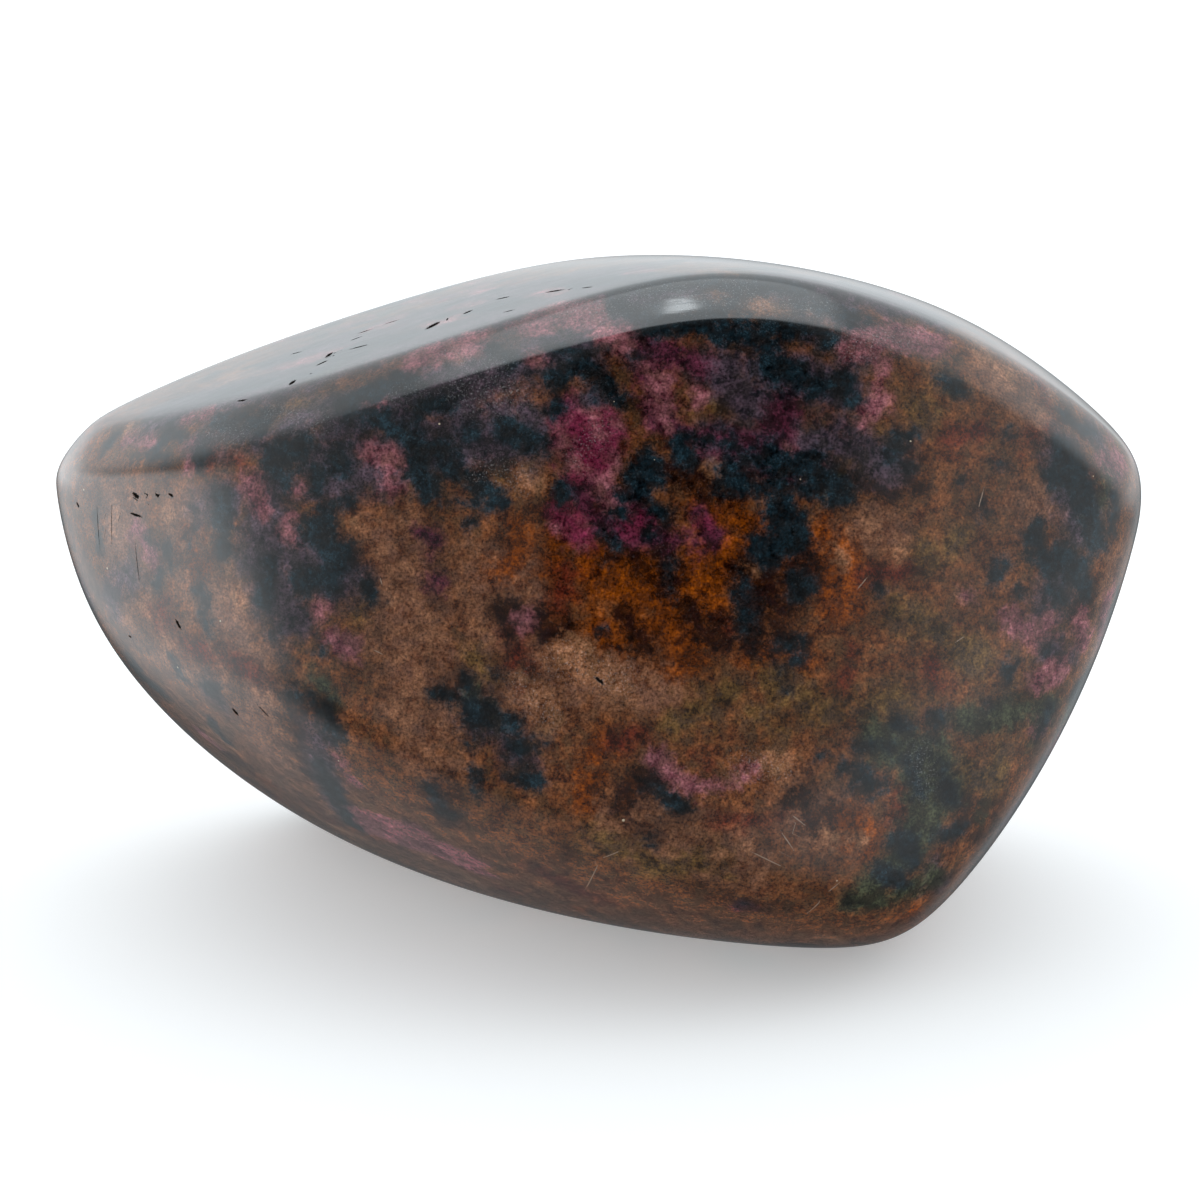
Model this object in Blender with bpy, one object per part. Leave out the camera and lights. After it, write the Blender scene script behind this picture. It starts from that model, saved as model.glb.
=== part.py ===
"""Rhodonite freeform: one stone, lapped and polished all over, that stands on a small flat spot.

Units are metres, +Z is up, +X is the blunt right end and -Y is the front.
The origin lies on the surface the stone stands on, under the middle of the stone.

A lapidary makes such a freeform by pressing a lump against a turning wheel, one side after
another. Each pass leaves a broad face that is nearly flat, crowned a little by the soft pad, and
the edges between the faces are rolled over. The shape below is built in the same way: a list of
crowned faces around one centre, and a blend where they meet.
"""

import math

import bmesh
import bpy
import numpy as np

MM = 0.001

# Middle of the stone, and the half sizes of the lump that it is cut from
CENTRE = (4.0, 0.0, 32.0)
BLANK = (54.0, 30.0, 34.0)

# Each face: compass direction (0 is the front, 90 the right end), tilt above the horizon, both in
# degrees, then its distance from the centre and the radius of its crown, both in millimetres
WALL = {
    "front": (-2, 19, 30.0, 350),
    "front left": (-36, 11, 43.5, 160),
    "left end": (-90, 0, 68.0, 63),
    "front right": (19, 8, 35.7, 140),
    "right end": (77, -15, 55.6, 103),
    "back right": (147, 0, 38.0, 130),
    "back": (176, 7, 25.0, 220),
    "back left": (-156, -1, 41.0, 150),
}
TOP = {
    "left slope": (-109, 71.6, 33.4, 1000),
    "summit": (162, 71.2, 34.2, 220),
    "right shoulder": (122, 66, 39.7, 105),
    "right slope": (105, 51, 46.2, 150),
}
UNDER = {
    "left undercut": (-74, -35, 50.1, 105),
    "front undercut": (-28, -49, 33.2, 115),
    "right undercut": (76, -34, 43.0, 84),
    "foot": (0, -90, 32.2, 100000),
}

# How far the edges are rolled over: between two wall faces, two top faces, and below
WALL_ROLL = 3.0
TOP_ROLL = 2.0
UNDER_ROLL = 2.0

# The band ground along the top edge all the way round, and the roll of its own two edges
BAND_DEPTH = 3.5
BAND_ROLL = 0.8

# The mesh: squares along each side of the cube that is blown up into the stone
DIVISIONS = 26
SEARCH_FROM = 5.0
SEARCH_TO = 95.0
HALVINGS = 34
SNAP = 0.05


def direction(compass, tilt):
    """Unit vector of a compass direction and a tilt, in degrees."""
    turn = math.radians(compass)
    rise = math.radians(tilt)
    return np.array([
        math.sin(turn) * math.cos(rise),
        -math.cos(turn) * math.cos(rise),
        math.sin(rise),
    ])


def crowned_face(points, compass, tilt, distance, crown):
    """Height of each point above one face: above its plane, plus how far its crown falls away."""
    above = points @ direction(compass, tilt)
    aside_squared = (points ** 2).sum(axis=1) - above ** 2
    return above - distance + aside_squared / (2 * crown)


def rolled(heights, roll):
    """The greatest of several heights, blended over the width of the roll where two are near."""
    stack = np.stack(heights)
    greatest = stack.max(axis=0)
    return greatest + roll * np.log(np.exp((stack - greatest) / roll).sum(axis=0))


def group(points, faces, roll):
    """Height above a whole group of faces."""
    return rolled([crowned_face(points, *face) for face in faces.values()], roll)


def height_above_stone(points):
    """Below zero inside the stone, zero on its surface; points are millimetres from the centre."""
    wall = group(points, WALL, WALL_ROLL)
    top = group(points, TOP, TOP_ROLL)
    under = group(points, UNDER, UNDER_ROLL)
    band = (wall + top + BAND_DEPTH) / math.sqrt(2)
    upper = rolled([wall, top, band], BAND_ROLL)
    return rolled([upper, under], UNDER_ROLL)


def lap(rays):
    """Where each ray from the centre leaves the stone, found by halving the search each time."""
    near = np.full(len(rays), SEARCH_FROM)
    far = np.full(len(rays), SEARCH_TO)
    for _ in range(HALVINGS):
        middle = (near + far) / 2
        inside = height_above_stone(rays * middle[:, None]) < 0
        near = np.where(inside, middle, near)
        far = np.where(inside, far, middle)
    return rays * near[:, None]


def blank_mesh():
    """A closed cube of even squares, about two units wide."""
    bm = bmesh.new()
    bmesh.ops.create_cube(bm, size=2.0)
    bmesh.ops.subdivide_edges(bm, edges=bm.edges[:], cuts=DIVISIONS - 1, use_grid_fill=True)
    return bm


def shape_stone(bm):
    """Turns the cube's corners into rays that spread evenly over the blank, and laps each one."""
    cube = np.array([vert.co[:] for vert in bm.verts])
    ball = np.tan(cube * math.pi / 4)
    ball /= np.linalg.norm(ball, axis=1)[:, None]
    rays = ball * BLANK
    rays /= np.linalg.norm(rays, axis=1)[:, None]
    surface = (lap(rays) + CENTRE) * MM
    for vert, place in zip(bm.verts, surface):
        vert.co = place


def grind_flat_spot(bm):
    """Cuts the foot off level at z = 0 and closes it with one flat face."""
    everything = bm.verts[:] + bm.edges[:] + bm.faces[:]
    cut = bmesh.ops.bisect_plane(
        bm, geom=everything, dist=SNAP * MM,
        plane_co=(0, 0, 0), plane_no=(0, 0, 1), clear_inner=True,
    )
    rim = [item for item in cut["geom_cut"] if isinstance(item, bmesh.types.BMEdge)]
    bmesh.ops.contextual_create(bm, geom=rim)
    for vert in bm.verts:
        if abs(vert.co.z) < SNAP * MM:
            vert.co.z = 0.0


def finish_mesh(bm):
    """Joins points closer than the snap, makes triangles of the shorter diagonals, faces outward."""
    bmesh.ops.remove_doubles(bm, verts=bm.verts[:], dist=SNAP * MM)
    bmesh.ops.triangulate(bm, faces=bm.faces[:], quad_method="SHORT_EDGE", ngon_method="BEAUTY")
    bmesh.ops.recalc_face_normals(bm, faces=bm.faces[:])


def stone_material():
    """Polished manganese silicate: brown rose on average, with a wet-looking polish."""
    material = bpy.data.materials.new("polished_rhodonite")
    material.use_nodes = True
    shader = material.node_tree.nodes["Principled BSDF"]
    shader.inputs["Base Color"].default_value = (0.145, 0.068, 0.050, 1.0)
    shader.inputs["Roughness"].default_value = 0.12
    shader.inputs["Metallic"].default_value = 0.0
    shader.inputs["IOR"].default_value = 1.73
    return material


def make_stone():
    """The stone as one named object with its own material."""
    bm = blank_mesh()
    shape_stone(bm)
    grind_flat_spot(bm)
    finish_mesh(bm)
    mesh = bpy.data.meshes.new("rhodonite_stone")
    bm.to_mesh(mesh)
    bm.free()
    mesh.materials.append(stone_material())
    mesh.shade_smooth()
    mesh.set_sharp_from_angle(angle=math.radians(40))
    stone = bpy.data.objects.new("rhodonite_stone", mesh)
    bpy.context.scene.collection.objects.link(stone)
    return stone


for old in list(bpy.data.objects):
    bpy.data.objects.remove(old)
make_stone()
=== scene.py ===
# %% [markdown]
# # A polished rhodonite freeform
#
# Rhodonite is a manganese silicate. Its rose pink crystals grow together with brown and orange
# garnet and iron stain, and blue-black manganese oxide fills the cracks between them. A lapidary
# presses a lump of it against turning wheels, one side after another, and polishes it until it
# shines like wet stone. This one is a blunt wedge, 107 mm long, that stands on a small flat spot.
#
# The lesson has four parts: the shape, the mottled pattern, the polish, and the studio.

import math

import bpy
import numpy as np
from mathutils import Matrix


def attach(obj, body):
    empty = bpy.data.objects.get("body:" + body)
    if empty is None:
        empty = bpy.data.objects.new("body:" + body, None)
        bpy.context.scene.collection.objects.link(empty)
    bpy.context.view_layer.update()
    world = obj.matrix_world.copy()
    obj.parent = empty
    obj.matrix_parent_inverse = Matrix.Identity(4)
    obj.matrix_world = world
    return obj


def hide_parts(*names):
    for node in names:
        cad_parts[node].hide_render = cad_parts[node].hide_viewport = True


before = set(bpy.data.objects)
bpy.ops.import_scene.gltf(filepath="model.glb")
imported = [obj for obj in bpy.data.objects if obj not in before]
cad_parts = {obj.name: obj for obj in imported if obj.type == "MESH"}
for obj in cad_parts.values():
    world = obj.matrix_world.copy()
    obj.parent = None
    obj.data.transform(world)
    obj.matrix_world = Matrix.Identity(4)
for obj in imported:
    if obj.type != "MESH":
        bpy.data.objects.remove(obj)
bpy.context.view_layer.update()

# %% [markdown]
# ## Where the camera stands
#
# The camera comes first, because the marks on the stone are placed as they look from it. It stands
# 430 mm away, 20 degrees above the horizon, and shows 120 mm across at the middle of the stone. All
# lengths below are millimetres, and only the last step of each mesh turns them to metres.

# %% Camera
MM = 0.001
VIEW_ELEVATION = math.radians(20)
VIEW_DISTANCE = 430.0
VIEW_WIDTH = 120.0
LOOK_AT = np.array([0.0, 0.0, 31.0])
SENSOR = 36.0

ACROSS = np.array([1.0, 0.0, 0.0])
TO_CAMERA = np.array([0.0, -math.cos(VIEW_ELEVATION), math.sin(VIEW_ELEVATION)])
UPWARD = np.array([0.0, math.sin(VIEW_ELEVATION), math.cos(VIEW_ELEVATION)])
EYE = LOOK_AT + TO_CAMERA * VIEW_DISTANCE

camera = bpy.data.objects.new("camera", bpy.data.cameras.new("camera"))
camera.data.sensor_width = SENSOR
camera.data.lens = SENSOR * VIEW_DISTANCE / VIEW_WIDTH
camera.location = EYE * MM
camera.rotation_euler = (math.pi / 2 - VIEW_ELEVATION, 0, 0)
bpy.context.scene.collection.objects.link(camera)
bpy.context.scene.camera = camera
print("lens in millimetres:", round(camera.data.lens, 1))

# %% [markdown]
# ## Faces from the lap
#
# Each pass on the wheel leaves a broad face that is nearly flat, with a slight crown from the soft
# pad. A face is given by the compass direction it looks to (0 is the front, 90 the right end), its
# tilt above the horizon, its distance from the centre of the stone and the radius of its crown.
# The stone could be sculpted, or cut with Booleans from planes, but rolled edges of a steady width
# are hard to get that way. Here the stone is one formula, and every edge in it is already blended.

# %% The faces of the stone
# the middle of the stone, and the half sizes of the lump that it is cut from
CENTRE = np.array([4.0, 0.0, 32.0])
BLANK = np.array([54.0, 30.0, 34.0])

# compass and tilt in degrees, distance and crown in millimetres
WALL = {
    "front": (-2, 19, 30.0, 350),
    "front left": (-36, 11, 43.5, 160),
    "left end": (-90, 0, 68.0, 63),
    "front right": (19, 8, 35.7, 140),
    "right end": (77, -15, 55.6, 103),
    "back right": (147, 0, 38.0, 130),
    "back": (176, 7, 25.0, 220),
    "back left": (-156, -1, 41.0, 150),
}
TOP = {
    "left slope": (-109, 71.6, 33.4, 1000),
    "summit": (162, 71.2, 34.2, 220),
    "right shoulder": (122, 66, 39.7, 105),
    "right slope": (105, 51, 46.2, 150),
}
UNDER = {
    "left undercut": (-74, -35, 50.1, 105),
    "front undercut": (-28, -49, 33.2, 115),
    "right undercut": (76, -34, 43.0, 84),
    "foot": (0, -90, 32.2, 100000),
}
# how far the edges are rolled over, and how deep the band cuts into the top edge
WALL_ROLL = 3.0
TOP_ROLL = 2.0
UNDER_ROLL = 2.0
BAND_DEPTH = 3.5
BAND_ROLL = 0.3
print("lapped faces:", len(WALL) + len(TOP) + len(UNDER))

# %% [markdown]
# ## One formula for the whole surface
#
# The height of a point above a crowned face is its height above the flat plane, plus what the crown
# has fallen away there: the squared distance sideways over twice the crown's radius. The stone is
# inside all faces at once, so its height is the greatest of them. A soft greatest, the logarithm of
# a sum of exponentials, rolls each edge over. The narrow band along the top edge is one more face
# that leans halfway between the wall and the top. Its own two edges stay crisp, and the reflection
# of the room breaks there.

# %% Height above the stone
def direction(compass, tilt):
    """Unit vector: sine and cosine of the compass turn, shortened by the cosine of the tilt."""
    turn = math.radians(compass)
    rise = math.radians(tilt)
    level = math.cos(rise)
    return np.array([math.sin(turn) * level, -math.cos(turn) * level, math.sin(rise)])


def crowned_face(points, compass, tilt, distance, crown):
    """Height above the plane, plus squared distance sideways over twice the crown's radius."""
    above = points @ direction(compass, tilt)
    aside_squared = (points**2).sum(axis=1) - above**2
    return above - distance + aside_squared / (2 * crown)


def rolled(heights, roll):
    """Soft greatest: the roll times the logarithm of the sum of exponentials of height by roll."""
    stack = np.stack(heights)
    greatest = stack.max(axis=0)
    return greatest + roll * np.log(np.exp((stack - greatest) / roll).sum(axis=0))


def group(points, faces, roll):
    """Soft greatest of the heights above every face of a group."""
    return rolled([crowned_face(points, *face) for face in faces.values()], roll)


def height_above_stone(points):
    """Soft greatest of wall, top, band and underside; below zero is inside the stone."""
    centred = points - CENTRE
    wall = group(centred, WALL, WALL_ROLL)
    top = group(centred, TOP, TOP_ROLL)
    under = group(centred, UNDER, UNDER_ROLL)
    band = (wall + top + BAND_DEPTH) / math.sqrt(2)
    return rolled([rolled([wall, top, band], BAND_ROLL), under], UNDER_ROLL)


middle_height = float(height_above_stone(CENTRE[None])[0])
print("the middle lies below the surface by at least", round(-middle_height, 1), "mm")

# %% [markdown]
# ## Six patches around the stone
#
# A ball made of rings has pinched poles, where polish and pattern both show the fault. A cube blown
# up into a ball has none, so the surface is six patches, each a function of two parameters from -1
# to 1. The tangent spreads the squares evenly, and stretching the ball to the size of the blank
# keeps them even on a long stone. Then each ray from the centre is cut in half again and again
# until the point where it leaves the stone is found. Points that two patches share are found by
# their whole-number place in the cube's lattice, and are made once, so the seams are closed.

# %% Patches and rays
SQUARES = 128
HALVINGS = 30
LONGEST_RAY = 95.0


def patch(axis, sign):
    """Points of one cube side: the sign on its own axis, the two parameters on the other two."""
    steps = np.linspace(-1, 1, SQUARES + 1)
    s, t = np.meshgrid(steps, steps, indexing="ij")
    cube = np.empty((SQUARES + 1, SQUARES + 1, 3))
    cube[..., axis] = sign
    cube[..., (axis + 1) % 3] = s
    cube[..., (axis + 2) % 3] = t * sign
    return cube


def rays_of(cube):
    """Unit rays: the tangent of an eighth turn times each coordinate, stretched to the blank."""
    ball = np.tan(cube * math.pi / 4)
    ball /= np.linalg.norm(ball, axis=-1, keepdims=True)
    stretched = ball * BLANK
    return stretched / np.linalg.norm(stretched, axis=-1, keepdims=True)


def lap(rays):
    """Halves each ray's search until it ends where the height above the stone is zero."""
    near = np.zeros(len(rays))
    far = np.full(len(rays), LONGEST_RAY)
    for _ in range(HALVINGS):
        middle = (near + far) / 2
        inside = height_above_stone(CENTRE + rays * middle[:, None]) < 0
        near = np.where(inside, middle, near)
        far = np.where(inside, far, middle)
    return CENTRE + rays * near[:, None]


cubes = np.stack([patch(axis, sign) for axis in range(3) for sign in (1, -1)])
lattice = np.rint((cubes + 1) * SQUARES / 2).astype(int).reshape(-1, 3)
_, first, same = np.unique(lattice, axis=0, return_index=True, return_inverse=True)
numbers = same.reshape(6, SQUARES + 1, SQUARES + 1)
quads = np.stack(
    [numbers[:, :-1, :-1], numbers[:, 1:, :-1], numbers[:, 1:, 1:], numbers[:, :-1, 1:]], axis=-1
).reshape(-1, 4)
points = lap(rays_of(cubes).reshape(-1, 3)[first])
points[:, 2] = np.maximum(points[:, 2], 0.0)
print("points and squares:", len(points), len(quads))

# %% [markdown]
# ## Marks as seen from the camera
#
# The pattern of a stone is the same kind of thing as a face: no two are alike, and the eye knows
# this one by where its blots are. Each blot is a short stroke of a brush, given as it looks from
# the camera: millimetres to the right of the middle and millimetres up. The stroke's points are
# cast on to the stone by walking along the camera's ray, a step as long as the height that is left.

# %% Casting a point on to the stone
WALK_STEPS = 90
WALK_SHARE = 0.8
LONGEST_STEP = 5.0
WALK_START = 70.0


def cast(marks):
    """Walks along each ray from the eye: each step is a share of the height above the stone."""
    marks = np.asarray(marks, float)
    target = LOOK_AT + marks[:, :1] * ACROSS + marks[:, 1:2] * UPWARD
    ray = target - EYE
    ray /= np.linalg.norm(ray, axis=1, keepdims=True)
    reached = EYE + ray * (VIEW_DISTANCE - WALK_START)
    for _ in range(WALK_STEPS):
        step = height_above_stone(reached) * WALK_SHARE
        reached = reached + ray * np.clip(step, -LONGEST_STEP, LONGEST_STEP)[:, None]
    return reached


print("middle of the picture lies at", cast([(0, 0)])[0].round(1))

# %% [markdown]
# ### How deep a point lies in a stroke
#
# A stroke is a chain of rounded bars. The depth of a point in it is the brush's radius less the
# distance to the nearest bar, so it is zero on the rim, and it falls on outside. The material needs
# it only near the rim, and beyond 3 mm it stays level.

# %% Depth in the strokes
DEEPEST = 3.0


def inside_strokes(strokes):
    """Greatest of radius less distance, over all bars; places on the stone aren't cast again."""
    deepest = np.full(len(points), -DEEPEST)
    for radius, *marks in strokes:
        stops = marks if isinstance(marks[0], np.ndarray) else cast(marks)
        for start, end in zip(stops, [*stops[1:], stops[-1]]):
            along = end - start
            length_squared = max(along @ along, 1e-9)
            share = np.clip((points - start) @ along / length_squared, 0, 1)
            distance = np.linalg.norm(points - start - share[:, None] * along, axis=1)
            deepest = np.maximum(deepest, radius - distance)
    return np.clip(deepest, -DEEPEST, DEEPEST)


one_dab = inside_strokes([(DEEPEST, (0.0, 0.0))])
print("points in one dab of", DEEPEST, "mm:", int((one_dab > 0).sum()))

# %% [markdown]
# ## The blots
#
# Each list is one mineral. The first number is the radius of the brush in millimetres, and the
# pairs after it are the places it passes. The edges are round here; the material frays them later.
#
# Manganese oxide comes first, because it draws the stone: it follows the cracks, and the eye finds
# its way by those black blots. It is nearly black, with a cold blue sheen where the light grazes it.

# %% Blue-black manganese oxide
OXIDE = [
    # on the long slope of the top
    (2.2, (-38.0, 20.6), (-34.0, 21.6)),
    (2.6, (-25.0, 25.0), (-20.0, 26.2)),
    (2.0, (-12.0, 29.0), (-8.0, 29.8)),
    (1.8, (-30.0, 22.4), (-28.0, 23.0)),
    (2.4, (-2.0, 31.6), (3.0, 32.2)),
    # along the band of the top edge
    (0.4, (-48.5, 16.5), (-49.2, 15.2)),
    (0.8, (-43.0, 17.5), (-43.5, 16.0)),
    (0.4, (-42.0, 16.5), (-41.8, 15.8)),
    (0.7, (-46.0, 14.5), (-43.5, 14.2)),
    (1.1, (-38.5, 17.6), (-36.5, 17.6)),
    (0.9, (-39.5, 16.0), (-39.8, 14.0)),
    (1.2, (-35.5, 18.5), (-34.0, 17.0), (-33.4, 18.6)),
    (1.3, (-25.0, 20.0), (-22.0, 21.2)),
    (1.2, (-20.5, 22.0), (-18.5, 21.4)),
    (1.0, (-10.5, 25.5), (-9.0, 24.0)),
    (1.2, (1.5, 29.5), (4.0, 28.5), (8.0, 29.5), (13.0, 29.3)),
    (1.5, (2.0, 31.2), (10.0, 32.0), (20.0, 31.0)),
    (1.3, (20.0, 29.5), (26.0, 28.0)),
    (0.8, (20.5, 29.2), (24.5, 28.0)),
    (0.9, (-4.5, 25.0), (-0.5, 24.7)),
    # upper left
    (1.4, (-33.0, 13.5), (-31.5, 12.0)),
    (1.8, (-30.0, 15.5), (-32.0, 14.5)),
    (0.9, (-28.2, 13.0), (-28.5, 11.0)),
    (1.8, (-26.0, 14.0)),
    (1.0, (-25.5, 10.0), (-28.0, 9.0)),
    (1.4, (-25.0, 19.0), (-22.0, 18.0), (-20.0, 17.0), (-18.5, 16.0)),
    (1.2, (-18.0, 19.5), (-14.5, 20.0)),
    (1.4, (-18.0, 14.0), (-17.5, 12.0), (-17.0, 11.0)),
    (0.7, (-19.5, 12.5)),
    (1.3, (-16.0, 15.5), (-15.0, 13.0)),
    (1.0, (-13.5, 13.0), (-12.2, 11.0)),
    (0.8, (-13.0, 16.5)),
    (1.4, (-9.0, 17.0), (-7.0, 16.0)),
    (0.7, (-16.0, 10.0), (-12.0, 9.5), (-10.0, 10.0)),
    (0.7, (-13.0, 8.0)),
    (2.0, (-28.0, 7.0), (-26.0, 4.0)),
    (1.5, (-27.0, 2.5), (-30.0, 2.0)),
    (0.9, (-23.5, 1.2), (-22.8, 0.2)),
    (1.2, (-33.5, 0.0), (-33.0, 4.0)),
    (0.8, (-33.0, -3.0)),
    (1.1, (-28.0, -5.0)),
    (0.6, (-31.2, -6.4)),
    # left end
    (0.8, (-50.2, 8.0), (-50.0, 5.5)),
    (0.5, (-45.0, 7.0), (-44.2, 5.5)),
    (0.8, (-43.5, 5.5), (-42.8, 3.5)),
    (0.5, (-44.0, 2.5), (-44.2, 1.5)),
    (0.6, (-41.0, 6.0), (-41.0, 5.0)),
    (1.4, (-38.0, 10.0), (-37.5, 5.0)),
    (0.7, (-40.0, 1.0), (-39.7, -1.0), (-39.0, -3.5)),
    (0.6, (-43.0, -5.5), (-41.5, -8.0)),
    (0.8, (-39.5, -9.0), (-38.5, -8.5)),
    (0.8, (-39.0, -12.0), (-37.5, -14.0)),
    (0.9, (-31.5, -9.2), (-28.8, -9.8)),
    (1.3, (-27.6, -11.2), (-26.4, -13.8)),
    (1.3, (-27.8, -16.5), (-26.5, -19.5), (-24.8, -22.5)),
    # upper middle
    (1.3, (-4.0, 22.5), (-2.0, 24.0)),
    (1.4, (-1.0, 22.5), (1.0, 21.5)),
    (0.8, (2.0, 20.0)),
    (0.8, (-4.5, 19.0)),
    (0.6, (3.5, 24.0)),
    (1.2, (10.0, 27.0), (16.0, 26.5), (17.0, 25.5)),
    (1.6, (17.0, 23.0), (20.0, 22.0)),
    (1.4, (22.0, 21.0), (24.5, 22.0)),
    (1.0, (25.0, 20.0)),
    (1.0, (22.5, 25.3), (23.2, 26.5)),
    (0.8, (9.0, 16.0), (11.0, 16.0), (13.5, 15.5)),
    (1.2, (17.0, 16.0), (17.0, 13.5)),
    (1.4, (5.0, 14.0), (4.0, 12.0)),
    (1.2, (8.0, 15.5), (9.0, 14.0)),
    (0.8, (6.0, 11.5)),
    (1.4, (13.0, 13.0), (13.5, 11.5)),
    (0.8, (12.5, 11.0)),
    (1.0, (16.0, 11.0), (19.0, 11.5)),
    (0.9, (2.0, 10.0), (1.8, 8.5)),
    (1.1, (5.5, 9.0), (6.5, 8.5)),
    (0.7, (5.0, 7.0)),
    (0.8, (1.5, 6.0), (0.0, 6.5)),
    (0.8, (-4.0, 11.5), (-3.8, 10.0)),
    (1.3, (5.0, 27.2), (10.0, 28.0), (16.0, 27.6), (22.0, 26.8)),
    (1.6, (15.0, 14.0), (22.0, 13.0), (24.0, 10.5)),
    # the big blot right of the middle and what hangs below it
    (2.0, (18.0, 10.0), (19.0, 6.0), (17.0, 5.0)),
    (1.2, (20.0, 11.0), (24.0, 11.5)),
    (0.8, (16.0, 4.0)),
    (0.9, (14.0, 2.5), (14.5, 0.0), (15.0, -2.0)),
    (1.1, (19.5, 2.0), (20.5, 1.0)),
    (0.7, (6.7, 1.0)),
    (0.6, (7.0, 3.5)),
    (0.4, (0.5, 4.0)),
    (0.5, (0.2, -3.4)),
    (0.8, (20.0, -4.0), (19.0, -4.6)),
    (0.6, (18.0, -7.0), (20.0, -6.0)),
    (0.4, (18.5, -9.0)),
    (0.8, (15.0, -3.0)),
    # right
    (1.1, (30.0, 16.0), (31.5, 17.0)),
    (0.9, (29.0, 14.0), (31.0, 13.5)),
    (0.8, (34.0, 22.0), (36.0, 21.0)),
    (0.7, (40.0, 13.5)),
    (0.4, (41.0, 16.8)),
    (0.5, (36.5, 12.0)),
    (0.6, (38.0, 8.0), (38.5, 9.0)),
    (0.8, (40.3, 3.5), (39.5, 2.5)),
    (0.8, (44.0, 7.5)),
    (1.2, (44.0, 4.5), (47.5, 4.5)),
    (0.7, (48.5, 5.5)),
    (0.8, (48.5, 3.0), (48.0, 1.0)),
    (0.9, (44.5, 1.0), (47.0, 0.0)),
    (0.6, (46.5, -1.5)),
    (0.7, (42.0, 1.0)),
    (0.7, (28.0, 1.0)),
    (1.6, (46.5, 15.0), (48.0, 12.0), (48.5, 9.5)),
    (1.0, (46.5, 18.5), (49.0, 17.0)),
    (1.0, (51.5, 10.0), (51.0, 7.0)),
    (0.9, (41.5, -6.0), (41.0, -7.5)),
    (0.7, (44.5, -5.0)),
    (1.8, (46.0, 13.0), (48.5, 10.0), (49.5, 6.0)),
    (1.5, (47.0, 4.0), (48.5, 1.0)),
    (1.2, (43.5, 6.0), (45.0, 3.0)),
    # lower middle
    (0.8, (-16.0, -9.5), (-14.0, -10.0), (-12.0, -10.5)),
    (0.6, (-13.5, -7.5), (-13.2, -9.0)),
    (0.7, (-10.5, -8.0)),
    (1.2, (-13.0, -12.0), (-11.0, -11.0), (-9.0, -12.0)),
    (0.8, (-12.5, -14.0)),
    (1.2, (-8.0, -15.0), (-6.0, -14.5)),
    (1.4, (-7.5, -17.0), (-6.5, -18.0)),
    (0.8, (-9.0, -18.0)),
    (0.6, (-12.2, -17.0), (-12.5, -19.0)),
    (0.9, (-17.0, -19.0), (-15.5, -21.0), (-14.5, -21.5)),
    (0.9, (5.5, -18.5), (7.0, -20.0), (8.0, -20.5)),
    (0.6, (5.5, -22.5), (4.5, -24.0)),
    (0.5, (14.0, -30.5)),
    # lower right
    (0.9, (31.0, -16.0), (32.0, -19.0)),
    (0.8, (34.5, -17.5), (35.0, -20.0)),
    (1.0, (28.5, -27.0), (30.0, -28.0)),
    (0.6, (22.5, -15.5)),
    (0.8, (30.5, -12.8), (29.5, -12.5)),
    (0.8, (26.5, -14.5), (29.0, -14.5)),
    (1.4, (26.0, -17.5), (27.5, -19.0)),
    (0.7, (24.5, -17.0)),
    (0.9, (34.0, -11.5), (34.0, -12.5)),
    (0.5, (38.5, -10.0)),
    (1.2, (30.0, -24.0), (31.5, -26.0)),
    (1.0, (36.0, -23.0), (34.0, -23.5)),
    (0.9, (45.0, -11.0), (44.0, -13.0)),
]
print("oxide strokes:", len(OXIDE))

# %% [markdown]
# ### Green-grey alteration
#
# A soft green-grey mineral, probably chlorite, lies low on the right, round the oxide there, and
# only in small spots elsewhere. It is dark too, and keeps the oxide from ending in a hard edge.

# %% Green-grey alteration
GREEN = [
    (2.4, (28.0, -14.0), (33.0, -16.0), (34.0, -20.0)),
    (2.2, (33.0, -21.0), (30.0, -26.0), (27.0, -29.0)),
    (1.6, (36.0, -12.0), (42.0, -11.0), (45.0, -11.0)),
    (1.0, (31.0, -15.5), (33.0, -15.5)),
    (1.9, (31.5, -17.0), (32.0, -19.0), (32.5, -23.0)),
    (1.4, (34.0, -14.0), (34.5, -18.0)),
    (1.6, (27.0, -28.5), (28.0, -30.0), (25.0, -30.0)),
    (1.2, (33.0, -27.5), (34.0, -28.0), (30.0, -29.0)),
    (0.7, (38.0, -21.5)),
    (1.0, (44.5, -10.0), (43.5, -14.0)),
    (0.9, (-13.0, -9.5), (-11.0, -12.0)),
    (0.8, (23.0, 11.3)),
    (1.0, (49.0, 8.0), (51.0, 12.0)),
    (0.8, (34.5, 22.2), (35.8, 21.4)),
    (1.0, (-28.5, -8.0), (-26.5, -10.0)),
]
print("green strokes:", len(GREEN))
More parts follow.
